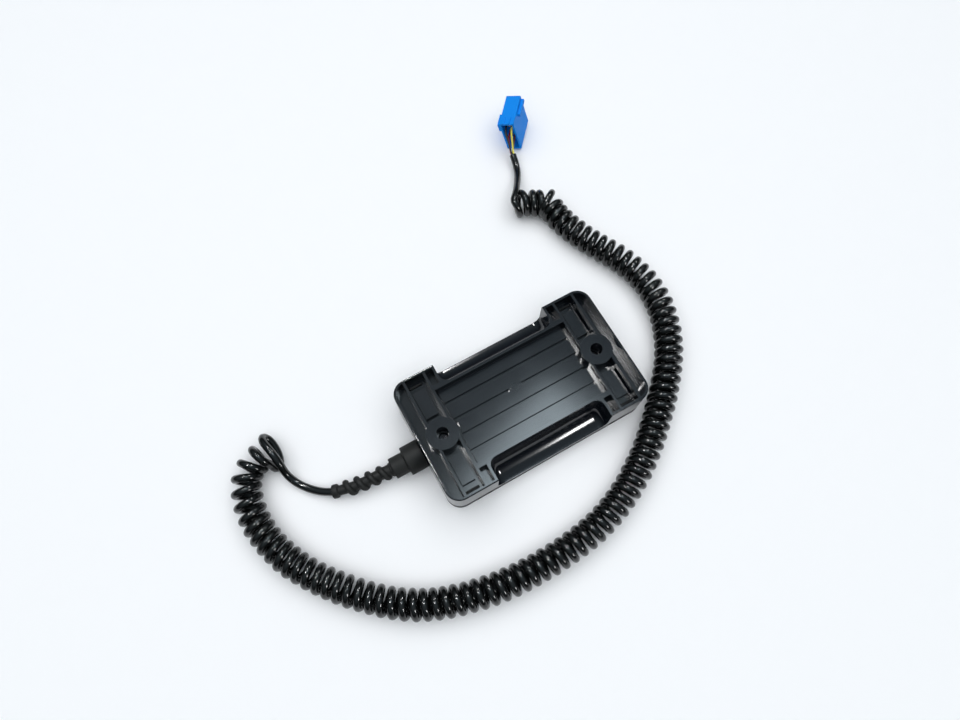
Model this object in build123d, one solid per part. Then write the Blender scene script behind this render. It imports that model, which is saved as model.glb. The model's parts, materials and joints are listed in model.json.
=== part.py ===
from build123d import *
import os
from math import cos, pi, radians, sin, tan

# Hand-held wired remote control for a truck's air suspension, lying on its keys with its back up.
# X runs along the housing (the cord leaves at -X), Y across it, Z up through the back.
# The origin is the middle of the housing's footprint. Millimetres.

# housing
LENGTH = 128.0
WIDTH = 75.2
THICKNESS = 28.0
CORNER = 8.5
WALL = 3.2
PARTING = 7.0            # height of the joint between the two shells
BACK_EDGE = 0.7          # rounding of the outer back edge
FACE_EDGE = 1.0          # rounding of the outer front edge
CORNERS = [(x, y) for x in (-1, 1) for y in (-1, 1)]
OVERLAP = 0.5            # how far a joined shape runs into the one it stands on
CLEAR = 1.0              # how far a cutter runs past the surface it opens

# back of the housing
RIM = 1.5
RIB = 1.4
OUTER_RIB_X = 55.3
INNER_RIB_X = 42.8
WELL_X = 49.8            # the two holder wells, one near each end
WELL_RADIUS = 3.55
WELL_FLOOR = 16.2
WELL_WALL = 1.5
SCREW_SEAT = 14.0        # the housing screw's head sits below the well
SCREW_HEAD_HOLE = 3.1
SCREW_SHANK_HOLE = 1.7
BOSS_RADIUS = 9.3
EAR_X = 36.0             # the side scoops run between the corner ears
PLATE_HALF = 25.1        # half width of the back between the scoops
TROUGH_FLOOR = 20.0
POCKET_FLOOR = 18.5
PAD_TOP = 21.5
PAD_SIZE = (7.8, 16.6)
PAD_Y = 21.1
CELL_FLOOR = 19.5
STRIP_TOP = 22.0
GROOVE_FLOOR = 20.2
GROOVE_WIDTH = 1.8
GROOVE_YS = (-15.2, -4.85, 4.85, 15.2)
STRIP_END_X = 40.6
GATE = (-0.7, 4.85)      # moulding gate mark, on the second groove
GATE_DISC = 4.1
GATE_RING = (2.1, 2.75)
GATE_PROUD = 0.3

# inside of the rear shell: over the board, and lower beside it
CAVITY_TOP = 16.8
ROOM_HALF = (38.2, 23.6)
SIDE_ROOM_HALF = (34.0, 30.0)
SIDE_ROOM_TOP = 9.6

# scoops
SCOOP_TOP_Y = 26.2
SCOOP_BREAK_Z = 19.0
SCOOP_LIP_Z = 8.6
SCOOP_END_ROUND = 5.0

# front shell
FACE_FRAME = 3.0         # width of the raised frame round the face
FACE_RECESS = 1.2
FACE_TOP = 3.2           # inside of the face plate
GASKET_INSET = 1.2
GASKET_WIDTH = 1.0
GASKET_HEIGHT = 0.95
GASKET_PLAY = 0.1
GASKET_GAP = 11.2        # the boot's flange closes the seal here
BOSS_HEIGHT = 11.5
SHELL_POST = (4.0, 1.45)         # radius of the post and of its screw hole
BOARD_POST = (2.5, 1.05)
CLAMP_POST = (2.0, 0.85)
POST_FLOOR = 0.6
HOOK = (7.7, 1.1)
HOOK_Y = 33.55
HOOK_TOP = 19.6
HOOK_SLOT = (8.3, 1.7, 6.0)
GRIP = (3.0, 1.2, 4.0)   # finger notches in the long sides
GRIP_XS = (41.0, 48.0)
GRIP_Z = 3.4

# keys and lenses
KEY_XS = (-28.0, -6.0, 16.0)
KEY_YS = (-20.0, 0.0, 20.0)
KEY_SIZE = (16.0, 15.0)
KEY_CORNER = 2.0
KEY_EDGE = 0.6
KEY_GAP = 0.3
KEY_FACE = 0.4
KEY_FLANGE = 1.0
KEY_FLANGE_REACH = 1.0
KEY_LIFT = 0.1           # play between the flange and the face plate
KEY_STEM_RADIUS = 2.0
KEY_STEM_TOP = 5.0
KEY_DISH_RADIUS = 60.0
KEY_DISH_DEPTH = 0.4
KEY_NAMES = (
    ("key_memory_1", "key_memory_2", "key_stop"),
    ("key_lower", "key_ride_level", "key_raise"),
    ("key_front_axle", "key_lock", "key_rear_axle"),
)
MEMBRANE_MARGIN = 1.8
MEMBRANE_SKIRT = 1.2
MEMBRANE_UNDERSIDE = 6.2
MEMBRANE_TOP = 6.9
LENS_X = 38.0
LENS_YS = (-12.0, 0.0, 12.0)
LENS_RADIUS = 2.4
LENS_HOLE = 2.5
LENS_FLANGE = (3.2, 4.0)         # radius and top
LENS_ENDS = (1.4, 8.4)

# board
BOARD_BOTTOM = 10.6
BOARD_THICKNESS = 1.6
BOARD_TOP = BOARD_BOTTOM + BOARD_THICKNESS
BOARD_HALF = (45.5, 23.2)
BOARD_NOTCH = 6.2
BOARD_HOLE = 1.25
POST_X = 42.2
POST_Y = 20.2
SWITCH_HALF = 3.0
SWITCH_BOTTOM = 7.7
PLUNGER_RADIUS = 1.7
PLUNGER_BOTTOM = 7.0
LED_HALF = (1.6, 1.4)
LED_BOTTOM = 8.8
CONTROLLER = ((-12.0, -6.0), (0.0, 6.0), 1.4)    # low corner, high corner and height
REGULATOR = ((16.0, -8.0), (26.0, 1.0), 3.0)
CAPACITOR_SIZE = (3.1, 4.0)
CAPACITORS = ((12.0, 14.0), (22.0, 14.0), (32.0, -14.0))
RESISTOR_HALF = (1.6, 0.8)
RESISTOR_HEIGHT = 0.6
RESISTORS = ((-24, -16), (-24, -12), (-24, -8), (-24, -4), (6, -16), (6, -12), (6, -8))
HEADER_XS = (-43.0, -36.0)
HEADER_YS = (8.4, 17.6)
HEADER_HEIGHT = 4.2
HEADER_WALL = 1.0
HEADER_FLOOR = 0.8
HEADER_PLAY = 0.05
HEADER_PLUG_XS = (-46.0, -37.4)

# screws: head radius, head height and shank radius
HOUSING_SCREW = (2.9, 2.0, 1.4)
BOARD_SCREW = (2.1, 1.4, 1.0)
CLAMP_SCREW = (1.7, 1.2, 0.8)
SCREW_TIP = 5.0

# cord
CORD_DIAMETER = 4.5
COIL_DIAMETER = 17.4
CORD_AXIS_Z = 9.2
JACKET_END_X = -56.3     # inside the housing
INNER_LEAD_RADIUS = 0.5
INNER_LEAD_PITCH = 1.1
INNER_LEAD_YS = (10.4, 12.15, 13.9, 15.65)

# clamp on the jacket
CLAMP_X = -58.4
CLAMP_Y = 8.6
CLAMP_XS = (-59.4, -56.7)
CLAMP_HALF = 11.0
CLAMP_LOW = 0.1          # both heights above the cord's axis
CLAMP_HIGH = 4.2
CLAMP_HOLE = 1.1

# boot
CORD_HOLE_RADIUS = 5.05
FLANGE_RADIUS = 5.9
FLANGE_THICKNESS = 1.18
WAIST_RADIUS = 5.0
COLLAR_RADIUS = 8.6
COLLAR_END_X = -74.6
NECK_RADIUS = 6.2
NECK_END_X = -83.0
SLEEVE_END = (-120.0, 6.6, 5.0)
SLEEVE_RADII = (3.6, 3.0)
FIN_RADIUS = 4.5
FIN_WIDTH = 2.2
FIN_START = 6.0
FIN_PITCH = 7.0
FIN_COUNT = 4
END_RING = (4.1, 3.2)    # radius and length
WALL_PLAY = 0.02

# the stretch from the boot to the curl
LEAD_ROUTE = [
    (-120.0, 6.6, 5.0),
    (-128.0, 10.6, 3.6),
    (-135.0, 18.5, 3.4),
    (-139.0, 28.5, 5.0),
    (-139.5, 38.0, 8.0),
]

# the curl's centre line
COIL_ROUTE = [
    (-138.5, 48.5, 8.8),
    (-151.0, 43.0, 8.8),
    (-160.0, 30.0, 8.8),
    (-163.0, 8.0, 8.8),
    (-153.5, -20.0, 8.8),
    (-133.5, -47.5, 8.8),
    (-106.0, -72.5, 8.8),
    (-70.0, -84.5, 8.8),
    (-32.0, -87.0, 8.8),
    (6.0, -83.5, 8.8),
    (40.0, -68.0, 8.8),
    (71.0, -43.0, 8.8),
    (95.0, -16.5, 8.8),
    (108.0, 14.0, 8.8),
    (105.0, 42.0, 8.8),
    (90.0, 70.0, 8.8),
    (81.0, 97.0, 8.8),
    (76.5, 111.0, 8.8),
    (65.0, 115.0, 8.8),
]

# the stretch from the curl to the plug
TAIL_ROUTE = [
    (61.7, 113.2, 2.5),
    (64.2, 120.0, 2.5),
    (70.5, 125.0, 2.5),
    (77.0, 131.5, 2.6),
    (81.5, 140.5, 3.4),
    (83.0, 149.0, 6.5),
]

# plug, in its own frame: X away from the wires, Z up its tall side
PLUG_LENGTH = 23.2
PLUG_WIDTH = 9.9
PLUG_HEIGHT = 24.2
PLUG_EDGE = 0.5
PLUG_CORNER = (85.2, 159.1, 0.1)
PLUG_YAW = 47.8
PLUG_LEAN = 16.4
PLUG_WALL = 1.2
ENTRY_DEPTH = 7.0
RAIL_XS = (10.0, 22.8)
RAIL_ZS = (19.6, 21.8)
RAIL_PROUD = 1.8
STEP_LENGTH = 8.5
STEP_ZS = (17.5, 23.6)
STEP_PROUD = 1.3
RIDGE_YS = (-6.8, -3.1)
RIDGE_SIZE = (5.5, 1.0, 0.5)
LOCK_XS = (14.0, 15.6)
LOCK_DEPTH = 1.6
LOCK_PLAY = 0.1

# terminals and wires
PIN_ZS = (5.6, 9.9, 14.2, 18.5)
PIN_YS = (-7.0, -2.9)
PIN_HOLE = (2.4, 2.8)
SOCKET_XS = (9.0, 22.2)
SOCKET_HALF = (1.1, 1.3)
MOUTH_HALF = (0.7, 0.5)
MOUTH_DEPTH = 7.0
BARREL_RADIUS = 0.9
BARREL_LENGTH = 2.1
WIRE_RADIUS = 0.6
WIRE_SPREAD = 1.0        # distance of each wire from the middle of the jacket
WIRE_STRAIGHT = 2.0
WIRES = (                # name, terminal's Y and Z, and the turn about the jacket's middle
    ("plug_wire_yellow", PIN_YS[0], PIN_ZS[3], 45),
    ("plug_wire_black", PIN_YS[1], PIN_ZS[3], 135),
    ("plug_wire_red", PIN_YS[1], PIN_ZS[1], 225),
    ("plug_wire_brown", PIN_YS[0], PIN_ZS[1], 315),
)

os.makedirs("parts", exist_ok=True)


def save(shape, name):
    export_step(shape, f"parts/{name}.step")


def box_between(low, high):
    size = [b - a for a, b in zip(low, high)]
    middle = [(a + b) / 2 for a, b in zip(low, high)]
    return Pos(*middle) * Box(*size)


def round_block(length, width, corner, bottom, top):
    outline = RectangleRounded(length, width, corner)
    return Pos(0, 0, bottom) * extrude(outline, top - bottom)


def post(x, y, radius, bottom, top):
    return Pos(x, y, (bottom + top) / 2) * Cylinder(radius, top - bottom)


def x_cylinder(radius, start, end, z):
    return Pos((start + end) / 2, 0, z) * Rot(0, 90, 0) * Cylinder(radius, abs(end - start))


def group(pieces):
    return Compound(children=list(pieces))


def corner_radii(points):
    """Largest tangent arcs that the runs of a cord's route allow."""
    radii = []
    vectors = [Vector(*p) for p in points]
    for before, here, after in zip(vectors, vectors[1:], vectors[2:]):
        turn = (here - before).get_angle(after - here)
        shorter = min((here - before).length, (after - here).length)
        radii.append(0.45 * shorter / tan(radians(turn) / 2))
    return radii


def tube(points, diameter):
    radii = corner_radii(points)
    path = FilletPolyline(*points, radius=radii)
    section = Plane(origin=path @ 0, z_dir=path % 0) * Circle(diameter / 2)
    return sweep(section, path), path.length, radii


def cord_solid(name, points, diameter):
    solid, length, radii = tube(points, diameter)
    expected = pi * diameter ** 2 / 4 * length
    print(name, "radii", [round(r, 1) for r in radii])
    print(name, "length", round(length, 1), "volume ratio", round(solid.volume / expected, 4))
    save(solid, name)


# --- housing -------------------------------------------------------------------------------


def scoop(side):
    """Hollow for the fingers along one long side: a steep wall that sweeps out to the lip."""
    lip_y = WIDTH / 2
    above = THICKNESS + CLEAR
    outside = (lip_y + 6, SCOOP_LIP_Z - 0.4)
    wall = Polyline(outside, (lip_y + 6, above), (PLATE_HALF, above), (PLATE_HALF, THICKNESS))
    wall += Line((PLATE_HALF, THICKNESS), (SCOOP_TOP_Y, SCOOP_BREAK_Z))
    wall += TangentArc(
        (SCOOP_TOP_Y, SCOOP_BREAK_Z),
        (lip_y, SCOOP_LIP_Z),
        tangent=(SCOOP_TOP_Y - PLATE_HALF, SCOOP_BREAK_Z - THICKNESS),
    )
    wall += Line((lip_y, SCOOP_LIP_Z), outside)
    cutter = Pos(-EAR_X, 0, 0) * extrude(Plane.YZ * make_face(wall), 2 * EAR_X)
    ends = [e for e in cutter.edges() if abs(abs(e.center().X) - EAR_X) < 0.01]
    ends = [e for e in ends if PLATE_HALF - 0.1 < e.center().Y < lip_y - 0.5]
    ends = [e for e in ends if e.center().Z < THICKNESS]
    cutter = fillet(ends, SCOOP_END_ROUND)
    return cutter if side > 0 else cutter.mirror(Plane.XZ)


def at_both_ends(x, shape):
    return Pos(x, 0) * shape + Pos(-x, 0) * shape


def end_recesses():
    """Troughs, pockets and corner cells at the two ends of the back, above each floor."""
    above = THICKNESS + CLEAR
    half_inside = WIDTH / 2 - RIM
    inside = RectangleRounded(LENGTH - 2 * RIM, WIDTH - 2 * RIM, CORNER - RIM)
    bosses = at_both_ends(WELL_X, Circle(BOSS_RADIUS))
    troughs = inside - Rectangle(2 * OUTER_RIB_X + RIB, WIDTH) - bosses
    cuts = Pos(0, 0, TROUGH_FLOOR) * extrude(troughs, above - TROUGH_FLOOR)
    pocket = Rectangle(OUTER_RIB_X - INNER_RIB_X - RIB, 2 * half_inside)
    pockets = at_both_ends((INNER_RIB_X + OUTER_RIB_X) / 2, pocket) - bosses
    cuts += Pos(0, 0, POCKET_FLOOR) * extrude(pockets, above - POCKET_FLOOR)
    cell_xs = (EAR_X + RIB, INNER_RIB_X - RIB / 2)
    cell_ys = (PLATE_HALF + RIB, half_inside)
    for x_side, y_side in CORNERS:
        low_x, high_x = sorted(x_side * x for x in cell_xs)
        low_y, high_y = sorted(y_side * y for y in cell_ys)
        cuts += box_between((low_x, low_y, CELL_FLOOR), (high_x, high_y, above))
    return cuts


def panel_recess():
    """The sunk middle of the back, with the trenches between and round its strips."""
    length = 2 * INNER_RIB_X - RIB
    panel = Rectangle(length, 2 * (PLATE_HALF - RIM)) - at_both_ends(WELL_X, Circle(BOSS_RADIUS))
    cut = Pos(0, 0, STRIP_TOP) * extrude(panel, THICKNESS + CLEAR - STRIP_TOP)
    trenches = panel - Rectangle(2 * STRIP_END_X, WIDTH)
    trenches += at_both_ends(WELL_X, Circle(BOSS_RADIUS + RIM)) & panel
    for y in GROOVE_YS:
        trenches += (Pos(0, y) * Rectangle(length, GROOVE_WIDTH)) & panel
    trenches -= Pos(*GATE) * Circle(GATE_DISC)
    return cut + Pos(0, 0, GROOVE_FLOOR) * extrude(trenches, STRIP_TOP - GROOVE_FLOOR + 0.01)


def rear_cavity():
    """Room for the board, ahead of the back floors."""
    half_x, half_y = ROOM_HALF
    cavity = box_between((-half_x, -half_y, PARTING), (half_x, half_y, CAVITY_TOP))
    side_x, side_y = SIDE_ROOM_HALF
    cavity += box_between((-side_x, -side_y, PARTING), (side_x, side_y, SIDE_ROOM_TOP))
    ends = RectangleRounded(LENGTH - 2 * WALL, WIDTH - 2 * WALL, CORNER - WALL)
    ends -= Rectangle(2 * half_x, WIDTH)
    cavity += Pos(0, 0, PARTING) * extrude(ends, CAVITY_TOP - PARTING)
    for side in (-1, 1):
        cavity -= post(side * WELL_X, 0, WELL_RADIUS + WELL_WALL, BOSS_HEIGHT, CAVITY_TOP)
    return cavity


def cord_hole():
    start = -LENGTH / 2 - CLEAR
    return x_cylinder(CORD_HOLE_RADIUS, start, -LENGTH / 2 + WALL + CLEAR, CORD_AXIS_Z)


def rear_shell():
    shell = round_block(LENGTH, WIDTH, CORNER, PARTING, THICKNESS)
    shell = fillet(shell.faces().sort_by(Axis.Z)[-1].edges(), BACK_EDGE)
    for cut in (scoop(1), scoop(-1), end_recesses(), panel_recess(), rear_cavity()):
        shell -= cut
    for x in (-WELL_X, WELL_X):
        shell -= post(x, 0, WELL_RADIUS, WELL_FLOOR, THICKNESS + CLEAR)
        shell -= post(x, 0, SCREW_HEAD_HOLE, SCREW_SEAT, WELL_FLOOR + CLEAR)
        shell -= post(x, 0, SCREW_SHANK_HOLE, BOSS_HEIGHT - CLEAR, SCREW_SEAT + CLEAR)
    pad_bottom = POCKET_FLOOR - OVERLAP
    pad = Pos(0, 0, (pad_bottom + PAD_TOP) / 2) * Box(*PAD_SIZE, PAD_TOP - pad_bottom)
    for x_side, y_side in CORNERS:
        shell += Pos(x_side * WELL_X, y_side * PAD_Y) * pad
        shell -= Pos(x_side * WELL_X, y_side * HOOK_Y, CAVITY_TOP) * Box(*HOOK_SLOT)
    gate = Circle(GATE_RING[1]) - Circle(GATE_RING[0])
    shell += Pos(*GATE, STRIP_TOP - OVERLAP) * extrude(gate, GATE_PROUD + OVERLAP)
    return shell - cord_hole()


def face_openings():
    """The nine key openings and the three round ones for the lenses."""
    length, width = KEY_SIZE
    outline = RectangleRounded(length + 2 * KEY_GAP, width + 2 * KEY_GAP, KEY_CORNER + KEY_GAP)
    cutter = extrude(outline, FACE_TOP + CLEAR)
    keys = [Pos(x, y, 0) * cutter for x in KEY_XS for y in KEY_YS]
    return keys + [post(LENS_X, y, LENS_HOLE, 0, FACE_TOP + CLEAR) for y in LENS_YS]


def screw_posts():
    """Place, top, radius and hole of each post inside the front shell."""
    posts = [(x, 0, BOSS_HEIGHT, *SHELL_POST) for x in (-WELL_X, WELL_X)]
    posts += [(x * POST_X, y * POST_Y, BOARD_BOTTOM, *BOARD_POST) for x, y in CORNERS]
    return posts + [(CLAMP_X, y, CORD_AXIS_Z, *CLAMP_POST) for y in (-CLAMP_Y, CLAMP_Y)]


def seal_ring(inset, width, bottom, top):
    """Band that follows the joint between the shells."""
    ring = round_block(LENGTH - 2 * inset, WIDTH - 2 * inset, CORNER - inset, bottom, top)
    inner = inset + width
    return ring - round_block(
        LENGTH - 2 * inner, WIDTH - 2 * inner, CORNER - inner, bottom - CLEAR, top + CLEAR
    )


def front_shell():
    shell = round_block(LENGTH, WIDTH, CORNER, 0, PARTING)
    shell = fillet(shell.faces().sort_by(Axis.Z)[0].edges(), FACE_EDGE)
    frame = 2 * FACE_FRAME
    shell -= round_block(LENGTH - frame, WIDTH - frame, CORNER - FACE_FRAME, -CLEAR, FACE_RECESS)
    shell -= round_block(LENGTH - 2 * WALL, WIDTH - 2 * WALL, CORNER - WALL, FACE_TOP, PARTING + CLEAR)
    groove_inset = GASKET_INSET - GASKET_PLAY
    shell -= seal_ring(groove_inset, GASKET_WIDTH + 2 * GASKET_PLAY, PARTING - 1, PARTING + CLEAR)
    for opening in face_openings():
        shell -= opening
    for x, y, top, radius, hole in screw_posts():
        shell += post(x, y, radius, FACE_TOP - OVERLAP, top)
        shell -= post(x, y, hole, FACE_TOP + POST_FLOOR, top + CLEAR)
    hook_bottom = FACE_TOP - OVERLAP
    hook = Pos(0, 0, (hook_bottom + HOOK_TOP) / 2) * Box(*HOOK, HOOK_TOP - hook_bottom)
    for x_side, y_side in CORNERS:
        shell += Pos(x_side * WELL_X, y_side * HOOK_Y) * hook
        for x in GRIP_XS:
            shell -= Pos(x_side * x, y_side * WIDTH / 2, GRIP_Z) * Box(*GRIP)
    return shell - cord_hole()


def gasket():
    ring = seal_ring(GASKET_INSET, GASKET_WIDTH, PARTING - GASKET_HEIGHT, PARTING)
    return ring - Pos(-LENGTH / 2, 0, PARTING) * Box(2 * WALL, GASKET_GAP, 2 * WALL)


# --- keys and face -------------------------------------------------------------------------


def key_cap():
    flange_bottom = FACE_TOP + KEY_LIFT
    outline = RectangleRounded(*KEY_SIZE, KEY_CORNER)
    cap = Pos(0, 0, KEY_FACE) * extrude(outline, flange_bottom - KEY_FACE + KEY_FLANGE / 2)
    cap = fillet(cap.faces().sort_by(Axis.Z)[0].edges(), KEY_EDGE)
    length, width = (size + 2 * KEY_FLANGE_REACH for size in KEY_SIZE)
    flange = RectangleRounded(length, width, KEY_CORNER + 0.4)
    cap += Pos(0, 0, flange_bottom) * extrude(flange, KEY_FLANGE)
    cap += post(0, 0, KEY_STEM_RADIUS, flange_bottom + OVERLAP, KEY_STEM_TOP)
    return cap - Pos(0, 0, KEY_FACE + KEY_DISH_DEPTH - KEY_DISH_RADIUS) * Sphere(KEY_DISH_RADIUS)


def keypad_membrane():
    """Silicone sheet over the switches, on a skirt that stands on the face plate."""
    low = (KEY_XS[0] - KEY_SIZE[0] / 2, KEY_YS[0] - KEY_SIZE[1] / 2)
    high = (KEY_XS[-1] + KEY_SIZE[0] / 2, KEY_YS[-1] + KEY_SIZE[1] / 2)
    margin = MEMBRANE_MARGIN
    room_low = [v - margin for v in low]
    room_high = [v + margin for v in high]
    outer_low = [v - MEMBRANE_SKIRT for v in room_low]
    outer_high = [v + MEMBRANE_SKIRT for v in room_high]
    sheet = box_between((*outer_low, FACE_TOP), (*outer_high, MEMBRANE_TOP))
    return sheet - box_between((*room_low, FACE_TOP - CLEAR), (*room_high, MEMBRANE_UNDERSIDE))


def indicator_lens(y):
    radius, top = LENS_FLANGE
    return post(LENS_X, y, LENS_RADIUS, *LENS_ENDS) + post(LENS_X, y, radius, FACE_TOP, top)


# --- board ---------------------------------------------------------------------------------


def circuit_board():
    half_x, half_y = BOARD_HALF
    board = box_between((-half_x, -half_y, BOARD_BOTTOM), (half_x, half_y, BOARD_TOP))
    for x in (-WELL_X, WELL_X):
        board -= post(x, 0, BOARD_NOTCH, BOARD_BOTTOM - CLEAR, BOARD_TOP + CLEAR)
    for x_side, y_side in CORNERS:
        x, y = x_side * POST_X, y_side * POST_Y
        board -= post(x, y, BOARD_HOLE, BOARD_BOTTOM - CLEAR, BOARD_TOP + CLEAR)
    return board


def chip(x, y, half, bottom, top):
    half_x, half_y = half
    return box_between((x - half_x, y - half_y, bottom), (x + half_x, y + half_y, top))


def tact_switch(x, y):
    switch = chip(x, y, (SWITCH_HALF, SWITCH_HALF), SWITCH_BOTTOM, BOARD_BOTTOM)
    return switch + post(x, y, PLUNGER_RADIUS, PLUNGER_BOTTOM, SWITCH_BOTTOM + OVERLAP)


def standing_block(corners):
    (low_x, low_y), (high_x, high_y), height = corners
    return box_between((low_x, low_y, BOARD_TOP), (high_x, high_y, BOARD_TOP + height))


def capacitor(x, y):
    radius, height = CAPACITOR_SIZE
    return post(x, y, radius, BOARD_TOP, BOARD_TOP + height)


def resistor(x, y):
    return chip(x, y, RESISTOR_HALF, BOARD_TOP, BOARD_TOP + RESISTOR_HEIGHT)


def screw(x, y, sizes, seat):
    """Pan-head self-tapping screw with a cross recess, head up."""
    head_radius, head, shank_radius = sizes
    body = post(x, y, head_radius, seat, seat + head)
    body = fillet(body.edges().sort_by(Axis.Z)[-1], head * 0.35)
    body += post(x, y, shank_radius, SCREW_TIP, seat + OVERLAP)
    for turn in (0, 90):
        recess = Box(head_radius * 1.1, head_radius * 0.25, head)
        body -= Pos(x, y, seat + head) * Rot(0, 0, turn) * recess
    return body


def header_body():
    """Open-ended shroud that takes the plug of the inner leads."""
    low_x, high_x = HEADER_XS
    low_y, high_y = HEADER_YS
    top = BOARD_TOP + HEADER_HEIGHT
    body = box_between((low_x, low_y, BOARD_TOP), (high_x, high_y, top))
    room_low = (low_x - CLEAR, low_y + HEADER_WALL, BOARD_TOP + HEADER_FLOOR)
    return body - box_between(room_low, (high_x - HEADER_WALL, high_y - HEADER_WALL, top - HEADER_FLOOR))


def header_plug():
    low_x, high_x = HEADER_PLUG_XS
    low_y, high_y = HEADER_YS
    side = HEADER_WALL + HEADER_PLAY
    floor = HEADER_FLOOR + HEADER_PLAY
    top = BOARD_TOP + HEADER_HEIGHT - floor
    return box_between((low_x, low_y + side, BOARD_TOP + floor), (high_x, high_y - side, top))


def inner_leads():
    """Four insulated wires from the jacket's end, round the well, to the plug on the board."""
    wires = []
    turn_x = JACKET_END_X + 1.2
    plug_x = HEADER_PLUG_XS[0]
    end_z = BOARD_TOP + HEADER_HEIGHT / 2
    for index, y in enumerate(INNER_LEAD_YS):
        z = CORD_AXIS_Z + INNER_LEAD_PITCH * (1.5 - index)
        route = [(JACKET_END_X, 0, z), (turn_x, 0, z), (turn_x, y, z)]
        route += [(plug_x - 2.2, y, end_z), (plug_x - WALL_PLAY, y, end_z)]
        path = FilletPolyline(*route, radius=[0.7, 1.2, 1.2])
        section = Plane(origin=path @ 0, z_dir=path % 0) * Circle(INNER_LEAD_RADIUS)
        wires.append(sweep(section, path))
    return wires


# --- cord entry ----------------------------------------------------------------------------


def cord_boot():
    """Rubber boot: a flange inside the wall, a collar outside, and a finned sleeve on the cord."""
    outside_x = -LENGTH / 2
    inside_x = outside_x + WALL + WALL_PLAY
    boot = x_cylinder(FLANGE_RADIUS, inside_x, inside_x + FLANGE_THICKNESS, CORD_AXIS_Z)
    boot += x_cylinder(WAIST_RADIUS, outside_x - OVERLAP, inside_x + OVERLAP, CORD_AXIS_Z)
    boot += x_cylinder(COLLAR_RADIUS, COLLAR_END_X, outside_x - WALL_PLAY, CORD_AXIS_Z)
    boot += x_cylinder(NECK_RADIUS, NECK_END_X, COLLAR_END_X + OVERLAP, CORD_AXIS_Z)
    start = Vector(NECK_END_X + 1.5, 0, CORD_AXIS_Z)
    end = Vector(*SLEEVE_END)
    reach = (end - start).length
    along = Plane(origin=start, z_dir=end - start)
    sleeve = along * Pos(0, 0, reach / 2) * Cone(*SLEEVE_RADII, reach)
    for index in range(FIN_COUNT):
        sleeve += along * Pos(0, 0, FIN_START + FIN_PITCH * index) * Cylinder(FIN_RADIUS, FIN_WIDTH)
    sleeve += along * Pos(0, 0, reach - END_RING[1] / 2) * Cylinder(*END_RING)
    return boot + sleeve


def cord_clamp():
    low = (CLAMP_XS[0], -CLAMP_HALF, CORD_AXIS_Z + CLAMP_LOW)
    bar = box_between(low, (CLAMP_XS[1], CLAMP_HALF, CORD_AXIS_Z + CLAMP_HIGH))
    groove = (CLAMP_XS[0] - CLEAR, CLAMP_XS[1] + CLEAR)
    bar = bar - x_cylinder(CORD_DIAMETER / 2 + 0.05, *groove, CORD_AXIS_Z)
    for y in (-CLAMP_Y, CLAMP_Y):
        bar -= post(CLAMP_X, y, CLAMP_HOLE, CORD_AXIS_Z - CLEAR, CORD_AXIS_Z + CLAMP_HIGH + CLEAR)
    return bar


# --- plug ----------------------------------------------------------------------------------


def plug_place():
    """From the plug's own frame, whose origin is a low corner, to its place."""
    return Pos(*PLUG_CORNER) * Rot(0, 0, PLUG_YAW) * Rot(-PLUG_LEAN, 0, 0)


def plug_ridges():
    """What stands proud of the plug: the rail, the step and two small ridges at the entry."""
    rail_low = (RAIL_XS[0], -PLUG_WIDTH - RAIL_PROUD, RAIL_ZS[0])
    ridges = [box_between(rail_low, (RAIL_XS[1], -PLUG_WIDTH + OVERLAP, RAIL_ZS[1]))]
    ridges.append(box_between((0, -OVERLAP, STEP_ZS[0]), (STEP_LENGTH, STEP_PROUD, STEP_ZS[1])))
    length, width, proud = RIDGE_SIZE
    for y in RIDGE_YS:
        low = (0, y - width / 2, PLUG_HEIGHT - OVERLAP)
        ridges.append(box_between(low, (length, y + width / 2, PLUG_HEIGHT + proud)))
    return ridges


def plug_housing():
    body = box_between((0, -PLUG_WIDTH, 0), (PLUG_LENGTH, 0, PLUG_HEIGHT))
    body = fillet(body.edges().filter_by(Axis.X), PLUG_EDGE)
    entry_low = (-CLEAR, -PLUG_WIDTH + PLUG_WALL, PLUG_WALL)
    body -= box_between(entry_low, (ENTRY_DEPTH, -PLUG_WALL, PLUG_HEIGHT - PLUG_WALL))
    for z in PIN_ZS:
        for y in PIN_YS:
            body -= Pos((ENTRY_DEPTH + PLUG_LENGTH) / 2, y, z) * Box(PLUG_LENGTH, *PIN_HOLE)
    for ridge in plug_ridges():
        body += ridge
    slot_low = (LOCK_XS[0], -PLUG_WIDTH + PLUG_WALL, -CLEAR)
    return body - box_between(slot_low, (LOCK_XS[1], -PLUG_WALL, LOCK_DEPTH))


def terminal(y, z):
    """Crimp socket: a square box for the pin and a round barrel on the wire."""
    start, end = SOCKET_XS
    half_y, half_z = SOCKET_HALF
    socket = box_between((start, y - half_y, z - half_z), (end, y + half_y, z + half_z))
    half_y, half_z = MOUTH_HALF
    mouth_low = (end - MOUTH_DEPTH, y - half_y, z - half_z)
    socket -= box_between(mouth_low, (end + CLEAR, y + half_y, z + half_z))
    barrel = Rot(0, 90, 0) * Cylinder(BARREL_RADIUS, BARREL_LENGTH)
    return socket + Pos(ENTRY_DEPTH + BARREL_LENGTH / 2, y, z) * barrel


def terminal_lock():
    play = LOCK_PLAY
    low = (LOCK_XS[0] + play, -PLUG_WIDTH + PLUG_WALL + play, play)
    return box_between(low, (LOCK_XS[1] - play, -PLUG_WALL - play, LOCK_DEPTH - play))


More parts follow.
